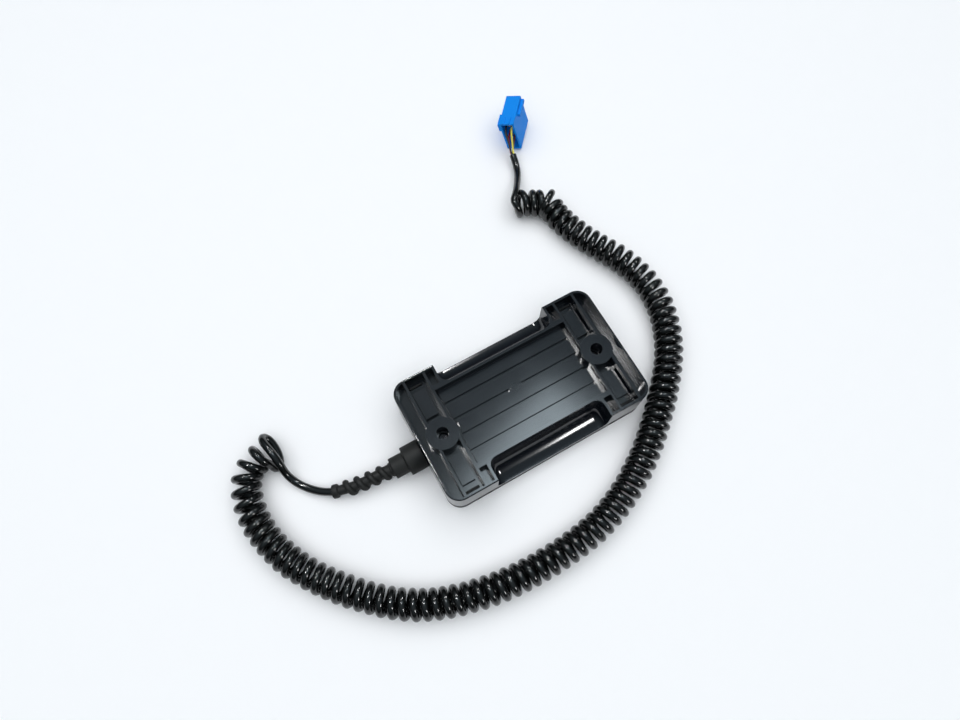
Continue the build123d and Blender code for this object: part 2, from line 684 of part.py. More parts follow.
def plug_wire(y, z, turn):
    """Insulated wire from its terminal to the end of the cord's jacket."""
    place = plug_place()
    inner = (place * Pos(ENTRY_DEPTH, y, z)).position
    mouth = (place * Pos(0, y, z)).position
    jacket = Vector(*TAIL_ROUTE[-1])
    heading = (jacket - Vector(*TAIL_ROUTE[-2])).normalized()
    across = heading.cross(Vector(0, 0, 1)).normalized()
    above = across.cross(heading)
    offset = across * (WIRE_SPREAD * cos(radians(turn))) + above * (WIRE_SPREAD * sin(radians(turn)))
    end = jacket + offset + heading * WALL_PLAY
    route = [inner, mouth, end + heading * WIRE_STRAIGHT, end]
    path = FilletPolyline(*route, radius=corner_radii(route))
    section = Plane(origin=path @ 0, z_dir=path % 0) * Circle(WIRE_RADIUS)
    return sweep(section, path)


# --- parts ---------------------------------------------------------------------------------


def build_face():
    save(front_shell(), "front_shell")
    for x, names in zip(KEY_XS, KEY_NAMES):
        for y, name in zip(KEY_YS, names):
            save(Pos(x, y, 0) * key_cap(), name)
    save(keypad_membrane(), "keypad_membrane")
    save(group(indicator_lens(y) for y in LENS_YS), "indicator_lenses")
    save(gasket(), "shell_gasket")


def build_board():
    save(circuit_board(), "circuit_board")
    save(group(tact_switch(x, y) for x in KEY_XS for y in KEY_YS), "tact_switches")
    save(group(chip(LENS_X, y, LED_HALF, LED_BOTTOM, BOARD_BOTTOM) for y in LENS_YS), "indicator_leds")
    save(standing_block(CONTROLLER), "microcontroller")
    save(standing_block(REGULATOR), "voltage_regulator")
    save(group(capacitor(x, y) for x, y in CAPACITORS), "capacitors")
    save(group(resistor(x, y) for x, y in RESISTORS), "resistors")
    save(header_body(), "board_header")
    save(header_plug(), "header_plug")
    save(group(inner_leads()), "inner_leads")


def build_back():
    save(rear_shell(), "rear_shell")
    corners = [(x * POST_X, y * POST_Y) for x, y in CORNERS]
    save(group(screw(x, y, BOARD_SCREW, BOARD_TOP) for x, y in corners), "board_screws")
    wells = (-WELL_X, WELL_X)
    save(group(screw(x, 0, HOUSING_SCREW, SCREW_SEAT) for x in wells), "housing_screws")
    save(cord_clamp(), "cord_clamp")
    clamp_top = CORD_AXIS_Z + CLAMP_HIGH
    clamp_screws = [screw(CLAMP_X, y, CLAMP_SCREW, clamp_top) for y in (-CLAMP_Y, CLAMP_Y)]
    save(group(clamp_screws), "clamp_screws")


def build_cord():
    save(cord_boot(), "cord_boot")
    jacket_start = -LENGTH / 2 + WALL + WALL_PLAY + FLANGE_THICKNESS
    inner_end = x_cylinder(CORD_DIAMETER / 2, jacket_start, JACKET_END_X, CORD_AXIS_Z)
    save(inner_end, "cord_inner_end")
    cord_solid("cord_lead", LEAD_ROUTE, CORD_DIAMETER)
    cord_solid("cord_coil", COIL_ROUTE, COIL_DIAMETER)
    cord_solid("cord_tail", TAIL_ROUTE, CORD_DIAMETER)


def build_plug():
    place = plug_place()
    save(place * plug_housing(), "plug_housing")
    save(place * group(terminal(y, z) for y in PIN_YS for z in PIN_ZS), "plug_terminals")
    save(place * terminal_lock(), "terminal_lock")
    for name, y, z, turn in WIRES:
        save(plug_wire(y, z, turn), name)


build_face()
build_board()
build_back()
build_cord()
build_plug()
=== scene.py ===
import bmesh
import bpy
import json
import random
from math import cos, pi, radians, sin
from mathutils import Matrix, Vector

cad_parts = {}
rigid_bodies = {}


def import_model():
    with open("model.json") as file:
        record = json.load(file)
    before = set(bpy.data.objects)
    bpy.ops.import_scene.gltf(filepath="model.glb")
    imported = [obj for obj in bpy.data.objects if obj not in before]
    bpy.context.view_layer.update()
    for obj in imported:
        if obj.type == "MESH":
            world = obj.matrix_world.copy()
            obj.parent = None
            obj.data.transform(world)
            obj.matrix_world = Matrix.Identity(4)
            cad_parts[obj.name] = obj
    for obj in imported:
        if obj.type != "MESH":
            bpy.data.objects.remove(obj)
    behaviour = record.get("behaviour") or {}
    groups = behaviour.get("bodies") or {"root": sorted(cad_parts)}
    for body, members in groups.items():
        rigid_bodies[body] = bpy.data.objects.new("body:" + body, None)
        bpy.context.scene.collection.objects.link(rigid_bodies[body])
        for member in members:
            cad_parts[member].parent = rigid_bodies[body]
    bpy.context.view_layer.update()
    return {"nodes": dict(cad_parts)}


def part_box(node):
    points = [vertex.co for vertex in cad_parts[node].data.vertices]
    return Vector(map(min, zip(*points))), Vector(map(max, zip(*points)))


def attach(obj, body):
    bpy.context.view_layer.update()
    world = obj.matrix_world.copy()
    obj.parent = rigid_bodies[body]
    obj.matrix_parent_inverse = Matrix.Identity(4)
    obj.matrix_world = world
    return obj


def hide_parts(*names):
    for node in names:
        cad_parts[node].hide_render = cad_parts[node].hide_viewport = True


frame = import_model()
nodes = frame["nodes"]
MM = 0.001


# --- Camera -------------------------------------------------------------------------------------
# The viewer stands at the cord's side of the handset and looks steeply down on its back,
# with the plug beyond it.
CAMERA_PLACE = (-0.0748, -0.0858, 0.3967)
CAMERA_TILT = 19.32
CAMERA_TURN = -29.45
LENS = 25.89

camera_data = bpy.data.cameras.new("camera")
camera_data.lens = LENS
camera_data.sensor_width = 36
camera_data.clip_start = 0.01
camera = bpy.data.objects.new("camera", camera_data)
camera.location = CAMERA_PLACE
camera.rotation_euler = (radians(CAMERA_TILT), 0, radians(CAMERA_TURN))
bpy.context.scene.collection.objects.link(camera)
bpy.context.scene.camera = camera


# --- Front shell --------------------------------------------------------------------------------
# The lower half of the housing, which holds the keys: black polyamide, injection moulded, with
# a fine spark-eroded grain. Its edges leave the tool slightly rounded.
SHELL_BLACK = (0.0045, 0.0055, 0.0065)
FRONT_ROUND = 0.22 * MM
ROUND_SEGMENTS = 2
SHARP = radians(28)
SMOOTH = radians(32)
FLAT = radians(1.0)
MERGE = 0.004 * MM
SLOW_SCALE = 70.0        # patches of tone and gloss, about 14 mm across
GLOSS_LEAST = 0.8
GLOSS_MOST = 1.25
GRAIN_STRENGTH = 0.5
# Edges can be lightened in colour, a painted highlight that stands in for the light a rounded edge
# catches: the band's width, then where it starts and where it is full.
HIGHLIGHT_EDGE_WIDTH = 0.3 * MM
HIGHLIGHT_EDGE_FROM = 0.99       # cosine between the rounded and the plain normal where the painted edge highlight starts
HIGHLIGHT_EDGE_FULL = 0.8        # and where it is full


def deselect():
    if bpy.context.mode != "OBJECT":
        bpy.ops.object.mode_set(mode="OBJECT")
    bpy.ops.object.select_all(action="DESELECT")


def take(piece):
    """Makes a piece the only one selected, and the active one."""
    deselect()
    piece.select_set(True)
    bpy.context.view_layer.objects.active = piece


def node_maker(material):
    """A function that adds a node to a material's tree and sets its inputs."""
    tree = material.node_tree

    def add(kind, links=(), **values):
        node = tree.nodes.new(kind)
        for key, value in values.items():
            node.inputs[key.replace("_", " ")].default_value = value
        for source, socket in links:
            tree.links.new(source, node.inputs[socket])
        return node

    return add


def moulded(
    name, colour, roughness, grain, relief, spread=0.25, metallic=0.0, coat=0.0, edge_highlight=0.0,
    specular=0.5,
):
    """A moulded or rolled finish: fine grain, slow changes of tone and gloss, and a painted highlight
    along the edges.
    """
    material = bpy.data.materials.new(name)
    material.use_nodes = True
    tree = material.node_tree
    shader = tree.nodes["Principled BSDF"]
    add = node_maker(material)
    place = add("ShaderNodeTexCoord").outputs["Object"]
    slow = add("ShaderNodeTexNoise", [(place, "Vector")], Scale=SLOW_SCALE, Detail=3.0)
    fine = add("ShaderNodeTexNoise", [(place, "Vector")], Scale=grain, Detail=4.0)
    tone = add("ShaderNodeMix")
    tone.data_type = "RGBA"
    tree.links.new(slow.outputs["Fac"], tone.inputs["Factor"])
    tone.inputs[6].default_value = (*(v * (1 - spread) for v in colour), 1)
    tone.inputs[7].default_value = (*(v * (1 + spread) for v in colour), 1)
    base = tone.outputs[2]
    gloss = add("ShaderNodeMapRange", [(slow.outputs["Fac"], "Value")])
    gloss.inputs["To Min"].default_value = roughness * GLOSS_LEAST
    gloss.inputs["To Max"].default_value = roughness * GLOSS_MOST
    height = [(fine.outputs["Fac"], "Height")]
    bump = add("ShaderNodeBump", height, Strength=GRAIN_STRENGTH, Distance=relief)
    # A lighter colour where the rounded normal turns away from the plain one: a painted highlight
    # along the edges.
    if edge_highlight:
        rounded = add("ShaderNodeBevel", Radius=HIGHLIGHT_EDGE_WIDTH)
        flat = add("ShaderNodeNewGeometry").outputs["Normal"]
        turn = add("ShaderNodeVectorMath")
        turn.operation = "DOT_PRODUCT"
        tree.links.new(rounded.outputs["Normal"], turn.inputs[0])
        tree.links.new(flat, turn.inputs[1])
        edge = add("ShaderNodeMapRange", [(turn.outputs["Value"], "Value")])
        edge.inputs["From Min"].default_value = HIGHLIGHT_EDGE_FROM
        edge.inputs["From Max"].default_value = HIGHLIGHT_EDGE_FULL
        painted_highlight = add("ShaderNodeMix", [(edge.outputs["Result"], "Factor")])
        painted_highlight.data_type = "RGBA"
        tree.links.new(base, painted_highlight.inputs[6])
        painted_highlight.inputs[7].default_value = (*(min(1, v + edge_highlight) for v in colour), 1)
        base = painted_highlight.outputs[2]
    tree.links.new(base, shader.inputs["Base Color"])
    tree.links.new(gloss.outputs["Result"], shader.inputs["Roughness"])
    tree.links.new(bump.outputs["Normal"], shader.inputs["Normal"])
    shader.inputs["Metallic"].default_value = metallic
    shader.inputs["Coat Weight"].default_value = coat
    shader.inputs["Specular IOR Level"].default_value = specular
    return material


def rounded_copy(node, name, width, material, body):
    """The CAD piece again with its edges rounded as the mould leaves them."""
    piece = bpy.data.objects.new(name, nodes[node].data.copy())
    bpy.context.scene.collection.objects.link(piece)
    take(piece)
    bpy.ops.object.mode_set(mode="EDIT")
    bpy.ops.mesh.select_all(action="SELECT")
    bpy.ops.mesh.remove_doubles(threshold=MERGE)
    bpy.ops.mesh.dissolve_limited(angle_limit=FLAT)
    bpy.ops.object.mode_set(mode="OBJECT")
    bevel = piece.modifiers.new("edges", "BEVEL")
    bevel.width = width
    bevel.segments = ROUND_SEGMENTS
    bevel.limit_method = "ANGLE"
    bevel.angle_limit = SHARP
    bpy.ops.object.modifier_apply(modifier=bevel.name)
    bpy.ops.object.shade_smooth_by_angle(angle=SMOOTH)
    evened = piece.modifiers.new("normals", "WEIGHTED_NORMAL")
    evened.keep_sharp = True
    evened.weight = 80
    bpy.ops.object.modifier_apply(modifier=evened.name)
    piece.data.materials.clear()
    piece.data.materials.append(material)
    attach(piece, body)
    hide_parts(node)
    return piece


def paint(material, *names):
    """Gives CAD pieces their finish."""
    for name in names:
        for slot in nodes[name].material_slots:
            slot.material = material


front_finish = moulded("front_shell_grain", SHELL_BLACK, 0.45, 2600.0, 0.03 * MM, specular=0.12)
rounded_copy(
    "front_shell", "front_shell_moulding", FRONT_ROUND, front_finish, "housing"
)


# --- Keys ---------------------------------------------------------------------------------------
# Nine dished caps, grey for use and red for stop, moulded in ABS. Each slides in its opening
# on a flange, and carries a symbol printed in its own raised white pad.
KEY_GREY = (0.24, 0.25, 0.26)
STOP_RED = (0.50, 0.020, 0.016)
PRINT_WHITE = (0.80, 0.80, 0.78)
DISH_RADIUS = 60.0 * MM
SYMBOL_PROUD = 0.07 * MM
SYMBOL_DEEP = 0.25 * MM
DISH_DEPTH = 0.4 * MM
SYMBOL_CUTS = 2

key_finish = moulded("key_grain", KEY_GREY, 0.48, 2400.0, 0.03 * MM, 0.08)
stop_finish = moulded("stop_key_grain", STOP_RED, 0.45, 2400.0, 0.03 * MM, 0.08)
print_finish = moulded("key_print", PRINT_WHITE, 0.55, 3000.0, 0.01 * MM, 0.05)


def bar(x, y, length, width):
    """A straight stroke, in millimetres."""
    bpy.ops.mesh.primitive_cube_add(
        size=1, location=(x * MM, y * MM, 0), scale=(length * MM, width * MM, MM)
    )


def disc(x, y, radius, sides=24, turn=0.0):
    """A dot, round or with a few sides, in millimetres and degrees."""
    bpy.ops.mesh.primitive_cylinder_add(
        vertices=sides, radius=radius * MM, depth=MM, location=(x * MM, y * MM, 0),
        rotation=(0, 0, radians(turn)),
    )


def arrow(turn):
    """A three-sided head on a shaft."""
    disc(0.9 * cos(radians(turn)), 0.9 * sin(radians(turn)), 3.2, 3, turn - 90)
    bar(-2.4 * cos(radians(turn)), -2.4 * sin(radians(turn)), 4.2, 1.1)


def wheel(x):
    """An axle's bar with a dot on it for the end that the key works on."""
    disc(x, 0, 1.7)
    bar(0, 0, 7.0, 0.8)


SYMBOLS = {
    "key_memory_1": [(disc, (0, 0, 1.5))],
    "key_memory_2": [(disc, (-2.2, 0, 1.5)), (disc, (2.2, 0, 1.5))],
    "key_stop": [(disc, (0, 0, 3.4, 8, 22.5))],
    "key_lower": [(arrow, (-90,))],
    "key_ride_level": [(bar, (0, 1.4, 6.4, 1.1)), (bar, (0, -1.4, 6.4, 1.1))],
    "key_raise": [(arrow, (90,))],
    "key_front_axle": [(wheel, (-2.6,))],
    "key_lock": [(disc, (0, 0, 2.2, 4, 45)), (bar, (0, 2.4, 3.2, 0.9))],
    "key_rear_axle": [(wheel, (2.6,))],
}


def symbol(key, shapes):
    """The raised print of one key, laid on its dished face."""
    low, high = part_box(key)
    middle = (low + high) / 2
    parts = []
    for make, sizes in shapes:
        deselect()
        before = set(bpy.data.objects)
        make(*sizes)
        parts += [o for o in bpy.data.objects if o not in before]
    deselect()
    for part in parts:
        part.select_set(True)
    bpy.context.view_layer.objects.active = parts[0]
    if len(parts) > 1:
        bpy.ops.object.join()
    piece = bpy.context.view_layer.objects.active
    piece.name = key + "_print"
    bpy.ops.object.transform_apply(location=True, rotation=True, scale=True)
    bpy.ops.object.mode_set(mode="EDIT")
    bpy.ops.mesh.select_all(action="SELECT")
    bpy.ops.mesh.subdivide(number_cuts=SYMBOL_CUTS)
    bpy.ops.object.mode_set(mode="OBJECT")
    rim = low.z
    for vertex in piece.data.vertices:
        away = Vector((vertex.co.x, vertex.co.y, 0)).length
        face = rim + DISH_DEPTH - DISH_RADIUS + (DISH_RADIUS**2 - away**2) ** 0.5
        vertex.co.z = face - SYMBOL_PROUD if vertex.co.z < 0 else face + SYMBOL_DEEP
        vertex.co.x += middle.x
        vertex.co.y += middle.y
    piece.data.materials.clear()
    piece.data.materials.append(print_finish)
    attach(piece, key + "_body")


for key, shapes in SYMBOLS.items():
    paint(stop_finish if key == "key_stop" else key_finish, key)
    symbol(key, shapes)


# --- Membrane, lenses and seal ------------------------------------------------------------------
# A silicone sheet seals the keys, three acrylic light guides show the state, and a rubber cord
# in the front shell's groove seals the joint. All are laid in before the board.
membrane_finish = moulded("silicone_sheet", (0.20, 0.20, 0.21), 0.55, 900.0, 0.02 * MM, 0.1)
seal_finish = moulded("seal_rubber_finish", (0.022, 0.022, 0.023), 0.7, 1500.0, 0.03 * MM)
lens_finish = moulded("lens_amber", (0.78, 0.30, 0.03), 0.12, 500.0, 0.004 * MM, 0.06)
lens_finish.node_tree.nodes["Principled BSDF"].inputs["Transmission Weight"].default_value = 0.45
paint(membrane_finish, "keypad_membrane")
paint(seal_finish, "shell_gasket")
paint(lens_finish, "indicator_lenses")


# --- Circuit board ------------------------------------------------------------------------------
# Glass-epoxy board with a green solder resist on the front shell's posts. Switches and lamps
# face the keys, and the controller, regulator and connector face the back.
board_finish = moulded("solder_resist", (0.012, 0.11, 0.035), 0.32, 700.0, 0.02 * MM, 0.15, coat=0.3)
switch_finish = moulded("switch_bodies", (0.045, 0.045, 0.05), 0.45, 2500.0, 0.02 * MM)
lamp_finish = moulded("lamp_bodies", (0.72, 0.70, 0.58), 0.2, 900.0, 0.004 * MM, 0.05)
chip_finish = moulded("chip_epoxy_finish", (0.018, 0.018, 0.02), 0.55, 3000.0, 0.02 * MM)
can_finish = moulded("drawn_can", (0.62, 0.63, 0.64), 0.28, 1800.0, 0.005 * MM, 0.06, metallic=1.0)
lead_finish = moulded("lead_insulation", (0.06, 0.06, 0.065), 0.4, 1200.0, 0.01 * MM)
paint(board_finish, "circuit_board")
paint(switch_finish, "tact_switches", "board_header", "header_plug")
paint(lamp_finish, "indicator_leds")
paint(chip_finish, "microcontroller", "voltage_regulator", "resistors")
paint(can_finish, "capacitors")
paint(lead_finish, "inner_leads")


# --- Rear shell ---------------------------------------------------------------------------------
# The upper half of the housing, moulded in the same black polyamide with a polished back: a rim,
# two ribs at each end, raised pads, the grooved middle and the two scoops for the fingers.
BACK_BLACK = (0.0030, 0.0045, 0.0075)

# Its rims and ribs are lighter in colour along the edges: a painted highlight, not rounded geometry.
back_finish = moulded("rear_shell_polish", BACK_BLACK, 0.14, 420.0, 0.003 * MM, edge_highlight=0.03)
paint(back_finish, "rear_shell")


# --- Screws and clamp ---------------------------------------------------------------------------
# Self-tapping steel screws, blackened, hold the board, the clamp and the two shells. The clamp is
# a moulded bar that grips the jacket inside the wall.
SMALL_PARTS_BLACK = (0.035, 0.035, 0.038)

screw_finish = moulded(
    "blackened_steel", SMALL_PARTS_BLACK, 0.36, 1600.0, 0.01 * MM, 0.2, metallic=1.0
)
clamp_finish = moulded("clamp_moulding", SMALL_PARTS_BLACK, 0.5, 2200.0, 0.03 * MM)
paint(screw_finish, "board_screws", "housing_screws", "clamp_screws")
paint(clamp_finish, "cord_clamp")


# --- Cord boot ----------------------------------------------------------------------------------
# Soft rubber strain relief, moulded on the jacket: a collar against the wall, a stepped neck, and
# a thin sleeve with a spiral fin that ends in a ring.
COLLAR_RADIUS = 8.6 * MM
NECK_RADIUS = 6.2 * MM
COLLAR_START = -64.02 * MM
COLLAR_END = -74.6 * MM
NECK_END = -83.0 * MM
MOUTH_RADIUS = 4.2 * MM
MOUTH_LENGTH = 1.4 * MM
COLLAR_ROUND = 0.6 * MM
COLLAR_SHARP = radians(40)
BOOT_SMOOTH = radians(50)
CORD_AXIS_Z = 9.2 * MM
SLEEVE_POINTS = [
    (-82, 0, 9.2), (-92, 0.9, 8.3), (-103, 1.9, 6.9), (-111, 3.6, 6.0), (-118.2, 5.9, 5.1),
]
SLEEVE_RADIUS = 3.0 * MM
SLEEVE_TAPER = [1.25, 1.08, 1.0, 0.98, 0.96]
FIN_PITCH = 6.9 * MM
FIN_THICK = 1.85 * MM
FIN_REACH = 3.25 * MM
FIN_START = 0.4 * MM
FIN_TURNS = 4.3
FIN_STEPS = 14           # points in a turn
FIN_ANGLE = 2.2          # where the fin starts on the sleeve, in radians
FIN_FIRST = 0.55         # the share of its reach that the fin starts with
FIN_RISE = 1.2           # and the share that it gains in a turn
RING_RADIUS = 4.1 * MM
RING_LENGTH = 3.3 * MM
RING_EDGE = 0.35 * MM
RING_LIPS = (0.5 * MM, 0.15 * MM, 0.0)
RING_SHAPE = [0.78, 0.94, 1.0, 1.0, 0.94, 0.8]
TUBE_RESOLUTION = 4
HEADING_REACH = 3        # how many points to each side a heading is read over


def curve_of(name, places, radius=0.0, radii=None, resolution=12, scale=MM):
    """A curve of one open spline that runs smoothly along its points."""
    data = bpy.data.curves.new(name, "CURVE")
    data.dimensions = "3D"
    spline = data.splines.new("NURBS")
    spline.points.add(len(places) - 1)
    for index, (point, place) in enumerate(zip(spline.points, places)):
        point.co = (*(v * scale for v in place), 1)
        point.radius = radii[index] if radii else 1.0
    spline.order_u = 3
    spline.use_endpoint_u = True
    data.resolution_u = resolution
    spline.resolution_u = resolution
    data.bevel_depth = radius
    data.bevel_resolution = TUBE_RESOLUTION
    data.use_fill_caps = radius > 0
    curve = bpy.data.objects.new(name, data)
    bpy.context.scene.collection.objects.link(curve)
    return curve


def smooth_line(places, resolution=24):
    """The points of the smooth curve that a route steers, in metres."""
    curve = curve_of("route", places, resolution=resolution)
    mesh = bpy.data.meshes.new_from_object(curve)
    line = [vertex.co.copy() for vertex in mesh.vertices]
    bpy.data.meshes.remove(mesh)
    bpy.data.objects.remove(curve)
    return line


def distances(line):
    """How far along the line each of its points lies."""
    run = [0.0]
    for before, after in zip(line, line[1:]):
        run.append(run[-1] + (after - before).length)
    return run


def place_along(line, run, distance):
    """The place and heading at a distance along a line."""
    distance = min(max(distance, 0.0), run[-1] - 1e-7)
    index = next(i for i in range(len(run) - 1) if run[i + 1] > distance)
    share = (distance - run[index]) / (run[index + 1] - run[index])
    low = max(index - HEADING_REACH, 0)
    high = min(index + 1 + HEADING_REACH, len(line) - 1)
    return line[index].lerp(line[index + 1], share), (line[high] - line[low]).normalized()


def winding(line, run, distance, radius, turn):
    """A point beside the line, that far from it and turned that much about it."""
    centre, heading = place_along(line, run, distance)
    side = Vector((0, 0, 1)).cross(heading).normalized()
    above = heading.cross(side)
    return centre + side * (radius * cos(turn)) + above * (radius * sin(turn))


def as_mesh(piece):
    """Turns a curve into a mesh."""
    take(piece)
    bpy.ops.object.convert(target="MESH")
    return bpy.context.view_layer.objects.active


def pick(test):
    """Selects only the faces of the mesh in edit mode that pass the test."""
    bpy.ops.mesh.select_all(action="DESELECT")
    mesh = bmesh.from_edit_mesh(bpy.context.edit_object.data)
    for face in mesh.faces:
        face.select_set(test(face.calc_center_median(), face.normal))
    bmesh.update_edit_mesh(bpy.context.edit_object.data)


def boot_collar():
    """Collar and neck, drawn out of one cylinder."""
    deselect()
    middle = ((COLLAR_START + COLLAR_END) / 2, 0, CORD_AXIS_Z)
    bpy.ops.mesh.primitive_cylinder_add(
        vertices=64, radius=COLLAR_RADIUS, depth=COLLAR_START - COLLAR_END, location=middle,
        rotation=(0, pi / 2, 0),
    )
    collar = bpy.context.object
    bpy.ops.object.transform_apply(location=True, rotation=True, scale=True)
    bpy.ops.object.mode_set(mode="EDIT")
    pick(lambda centre, normal: normal.x < -0.9)
    bpy.ops.mesh.inset(thickness=COLLAR_RADIUS - NECK_RADIUS)
    neck = (NECK_END - COLLAR_END, 0, 0)
    bpy.ops.mesh.extrude_region_move(TRANSFORM_OT_translate={"value": neck})
    bpy.ops.mesh.inset(thickness=NECK_RADIUS - MOUTH_RADIUS)
    bpy.ops.mesh.extrude_region_move(TRANSFORM_OT_translate={"value": (-MOUTH_LENGTH, 0, 0)})
    bpy.ops.object.mode_set(mode="OBJECT")
    bevel = collar.modifiers.new("edges", "BEVEL")
    bevel.width = COLLAR_ROUND
    bevel.segments = 3
    bevel.angle_limit = COLLAR_SHARP
    bpy.ops.object.modifier_apply(modifier=bevel.name)
    return collar


sleeve_line = smooth_line(SLEEVE_POINTS)
sleeve_run = distances(sleeve_line)
sleeve = curve_of("sleeve", SLEEVE_POINTS, SLEEVE_RADIUS, radii=SLEEVE_TAPER)
fin_points = []
for step in range(int(FIN_TURNS * FIN_STEPS) + 1):
    turns = step / FIN_STEPS
    reach = FIN_REACH * min(1.0, FIN_FIRST + turns * FIN_RISE)
    reached = FIN_START + turns * FIN_PITCH
    fin_points.append(winding(sleeve_line, sleeve_run, reached, reach, 2 * pi * turns + FIN_ANGLE))
fin = curve_of("fin", fin_points, FIN_THICK, resolution=3, scale=1)
ring_end = sleeve_run[-1]
ring_start = ring_end - RING_LENGTH
ring_marks = [ring_start - RING_EDGE, ring_start, ring_start + RING_EDGE]
ring_marks += [ring_end - lip for lip in RING_LIPS]
ring_points = [place_along(sleeve_line, sleeve_run, mark)[0] for mark in ring_marks]
ring = curve_of("ring", ring_points, RING_RADIUS, radii=RING_SHAPE, resolution=6, scale=1)
boot_parts = [boot_collar(), as_mesh(sleeve), as_mesh(fin), as_mesh(ring)]
deselect()
for part in boot_parts:
    part.select_set(True)
bpy.context.view_layer.objects.active = boot_parts[0]
bpy.ops.object.join()
boot = bpy.context.view_layer.objects.active
boot.name = "spiral_boot"
bpy.ops.object.shade_smooth_by_angle(angle=BOOT_SMOOTH)
boot_finish = moulded(
    "boot_rubber_finish", (0.0075, 0.0085, 0.0080), 0.60, 1300.0, 0.05 * MM, 0.3, specular=0.3
)
boot.data.materials.clear()
boot.data.materials.append(boot_finish)
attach(boot, "housing")
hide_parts("cord_boot")


# --- Curly cord ---------------------------------------------------------------------------------
# Four cores in a glossy black polyurethane jacket, wound on a mandrel and set by heat. The curl
# rests in a loop round the handset, and its end turns have opened and fanned out.
CORD_DIAMETER = 4.5 * MM
CURL_RADIUS = 6.42 * MM
POINTS_PER_TURN = 12
CUT_INSIDE = 0.9663      # a smooth curve's radius, as a share of its control points' one
CURL_PITCH = 5.9 * MM
FAN_PITCH = 1.3 * MM     # how much further apart the first turns stand
FAN_TURNS = 6.0
FAN_FLAT = 1.25          # how flat they stand: they step along on the inside of the bend
CLOSED_PITCH = 1.0 * MM  # how much closer the last turns lie
CLOSED_TURNS = 6.5
EASE_TURNS = 2.0
LAST_PITCH = 3.0 * MM    # how much further on the last turn ends
TURNS = 87
ODD_TURN = 83            # one wider turn where the curl bends to the plug
ODD_TURN_MORE = 1.1 * MM
PITCH_CHANCE = 0.25      # how far pitches and radii stray, in millimetres
RADIUS_CHANCE = 0.12

# out of the boot, over the end turn and round it
LEAD_POINTS = [
    (-116.4, 5.3, 5.3), (-121.0, 7.2, 4.6), (-128.2, 13.2, 3.2), (-134.0, 20.6, 2.8),
    (-137.0, 27.6, 5.6), (-136.6, 32.9, 12.6), (-137.4, 39.9, 15.4), (-139.8, 48.8, 14.2),
    (-139.4, 53.4, 9.6), (-136.6, 50.4, 6.0), (-136.0, 42.2, 3.4), (-137.4, 35.8, 2.6),
    (-141.0, 33.2, 4.6),
]

# the middle of the curl
CURL_POINTS = [
    (-142.3, 43.0, 8.8), (-151.0, 42.6, 8.8), (-160.2, 31.0, 8.8), (-162.6, 8.0, 8.8),
    (-154.5, -19.0, 8.8), (-133.5, -47.5, 8.8), (-106.0, -72.0, 8.8), (-70.0, -84.0, 8.8),
    (-32.0, -87.0, 8.8), (6.0, -83.5, 8.8), (40.0, -68.0, 8.8), (71.0, -43.0, 8.8),
    (96.0, -16.5, 8.8), (108.0, 14.0, 8.8), (105.0, 42.0, 8.8), (90.0, 70.0, 8.8),
    (83.0, 92.0, 8.8), (83.4, 104.4, 8.8), (75.4, 108.8, 8.8), (69.0, 113.4, 8.8), (62.3, 113.8, 8.8),
]

# down from the last turn and along to the plug
TAIL_POINTS = [
    (66.0, 117.4, 14.8), (69.6, 122.0, 12.4), (73.6, 127.6, 9.0), (78.2, 134.4, 5.6),
    (81.8, 142.0, 4.6), (83.0, 149.0, 6.5),
]

curl_line = smooth_line(CURL_POINTS)
curl_run = distances(curl_line)
chance = random.Random(7)
pitches = []
for turn in range(TURNS):
    fan = FAN_PITCH * min(1.0, max(0.0, (FAN_TURNS - turn) / EASE_TURNS))
    closed = CLOSED_PITCH * min(1.0, max(0.0, (turn - TURNS + CLOSED_TURNS) / EASE_TURNS))
    pitches.append(CURL_PITCH + fan - closed + chance.uniform(-PITCH_CHANCE, PITCH_CHANCE) * MM)
pitches[-1] += LAST_PITCH
fit = curl_run[-1] / (sum(pitches) + pitches[-1] / 4)
curl_points = []
start = 0.0
for turn in range(TURNS + 1):
    pitch = fit * pitches[min(turn, TURNS - 1)]
    odd = ODD_TURN_MORE if turn == ODD_TURN else 0.0
    flat = FAN_FLAT * min(1.0, max(0.0, (2 * FAN_TURNS - turn) / FAN_TURNS))
    stray = chance.uniform(-RADIUS_CHANCE, RADIUS_CHANCE) * MM
    radius = (CURL_RADIUS + odd + stray) / CUT_INSIDE
    steps = POINTS_PER_TURN if turn < TURNS else POINTS_PER_TURN // 4 + 1
    for step in range(steps):
        share = step / POINTS_PER_TURN
        reached = start + pitch * (share + flat * sin(2 * pi * share) / (2 * pi))
        point = winding(curl_line, curl_run, reached, radius, 2 * pi * share)
        curl_points.append(point + Vector((0, 0, odd)))
    start += pitch
lead_points = [Vector(point) * MM for point in LEAD_POINTS]
tail_points = [Vector(point) * MM for point in TAIL_POINTS]
cord_points = lead_points + curl_points + tail_points
cord = curve_of("curly_cord", cord_points, CORD_DIAMETER / 2, resolution=3, scale=1)
cord_finish = moulded("cord_jacket_gloss", (0.0025, 0.0030, 0.0030), 0.15, 900.0, 0.010 * MM, 0.2)
cord.data.materials.append(cord_finish)
paint(cord_finish, "cord_inner_end")
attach(cord, "housing")
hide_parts("cord_lead", "cord_coil", "cord_tail")


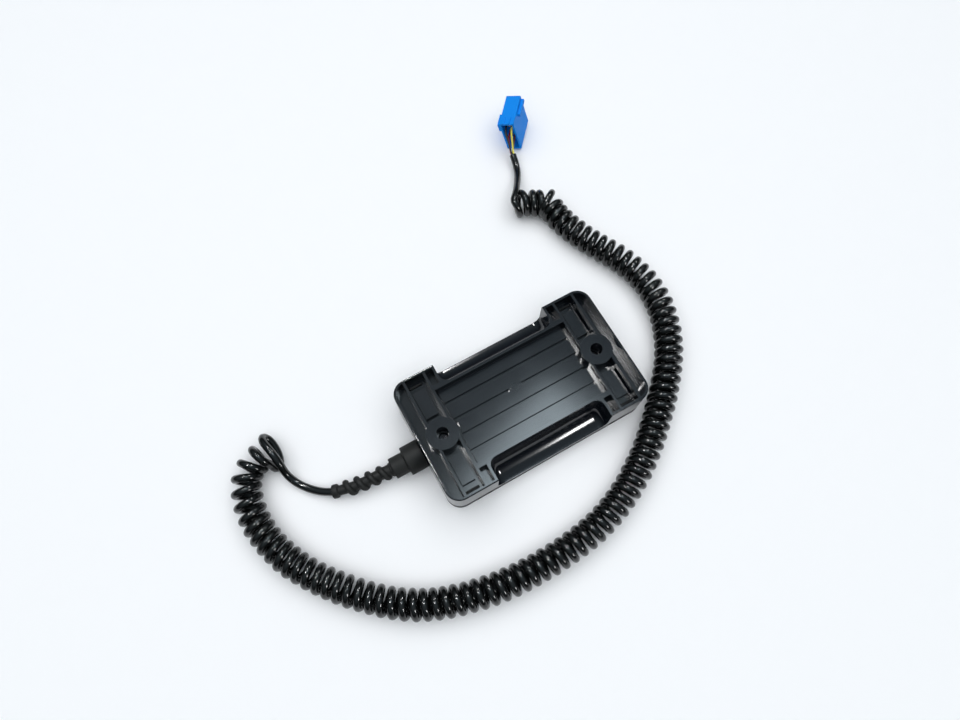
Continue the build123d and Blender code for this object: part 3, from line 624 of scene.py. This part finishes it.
# --- Plug and its wires -------------------------------------------------------------------------
# The plug is moulded in blue polyester, with a locking rail on one side. The four wires leave the
# jacket bare and crimp to tinned terminals, which a small grey slide keeps in.
PLUG_BLUE = (0.0005, 0.235, 0.80)
PLUG_ROUND = 0.2 * MM
plug_finish = moulded("plug_polyester", PLUG_BLUE, 0.45, 1500.0, 0.02 * MM, 0.06, specular=0.08)
plug = rounded_copy("plug_housing", "plug_moulding", PLUG_ROUND, plug_finish, "housing")
terminal_finish = moulded(
    "tinned_brass", (0.66, 0.60, 0.48), 0.3, 1500.0, 0.005 * MM, 0.08, metallic=1.0
)
lock_finish = moulded("lock_grey", (0.45, 0.45, 0.46), 0.45, 1500.0, 0.02 * MM, 0.06)
paint(terminal_finish, "plug_terminals")
paint(lock_finish, "terminal_lock")
WIRE_COLOURS = {
    "yellow": (0.86, 0.78, 0.10),
    "red": (0.42, 0.020, 0.012),
    "brown": (0.12, 0.045, 0.018),
    "black": (0.012, 0.012, 0.013),
}
for colour, shade in WIRE_COLOURS.items():
    paint(moulded(colour + "_wire", shade, 0.34, 1200.0, 0.008 * MM, 0.08), "plug_wire_" + colour)
on_cord = [boot, plug, nodes["plug_terminals"], nodes["terminal_lock"]]
on_cord += [nodes["plug_wire_" + colour] for colour in WIRE_COLOURS]


# --- Floor and light ----------------------------------------------------------------------------
# A pale table top under a bright even ceiling. A cool panel overhead, a narrow window to the near
# right and three small lamps high up show in the gloss alone.
FLOOR_SIZE = 6.0
SMALL_LAMPS = ((-0.40, 0.35), (0.10, 1.05), (1.3, 0.9))
SMALL_LAMP_HEIGHT = 1.7
SKY_DARK = (0.12, 0.13, 0.14, 1)
SKY_BRIGHT = (0.72, 0.90, 1.0, 1)
SKY_STRENGTH = 0.5
deselect()
bpy.ops.mesh.primitive_plane_add(size=FLOOR_SIZE, location=(0, 0, 0))
floor = bpy.context.object
floor.name = "table_top"
table_finish = moulded(
    "pale_table", (0.93, 0.94, 0.95), 0.85, 300.0, 0.01 * MM, 0.004, specular=0.1
)
floor.data.materials.append(table_finish)

world = bpy.data.worlds.new("room")
world.use_nodes = True
bpy.context.scene.world = world
sky = world.node_tree
direction = sky.nodes.new("ShaderNodeTexCoord")
split = sky.nodes.new("ShaderNodeSeparateXYZ")
sky.links.new(direction.outputs["Generated"], split.inputs[0])
ramp = sky.nodes.new("ShaderNodeValToRGB")
ramp.color_ramp.elements[0].position = 0.2
ramp.color_ramp.elements[0].color = SKY_DARK
ramp.color_ramp.elements[1].position = 0.97
ramp.color_ramp.elements[1].color = SKY_BRIGHT
sky.links.new(split.outputs["Z"], ramp.inputs["Fac"])
sky.links.new(ramp.outputs["Color"], sky.nodes["Background"].inputs["Color"])
sky.nodes["Background"].inputs["Strength"].default_value = SKY_STRENGTH


def lamp(name, place, size, radiance, colour=(1, 1, 1), diffuse=True, gloss=True):
    """A rectangular lamp that faces the origin and shows in dull surfaces, in gloss or in both."""
    data = bpy.data.lights.new(name, "AREA")
    data.shape = "RECTANGLE"
    data.size, data.size_y = size
    data.energy = radiance * pi * size[0] * size[1]
    data.color = colour
    light = bpy.data.objects.new(name, data)
    light.location = place
    light.rotation_euler = Vector(place).to_track_quat("Z", "Y").to_euler()
    light.visible_diffuse = diffuse
    light.visible_glossy = gloss
    light.visible_camera = False
    bpy.context.scene.collection.objects.link(light)


lamp("ceiling", (0.0, 0.1, 1.5), (2.6, 2.6), 1.575, (1.0, 0.965, 0.96), gloss=False)
lamp("panel", (0.25, 0.10, 1.5), (0.33, 0.40), 8.5, (0.78, 0.92, 1.0), diffuse=False)
lamp("window", (0.262, -0.85, 0.52), (0.075, 0.26), 60.0, diffuse=False)
for index, (x, y) in enumerate(SMALL_LAMPS):
    lamp(f"small_lamp_{index}", (x, y, SMALL_LAMP_HEIGHT), (0.09, 0.09), 450.0, diffuse=False)
bpy.context.scene.view_settings.view_transform = "Standard"
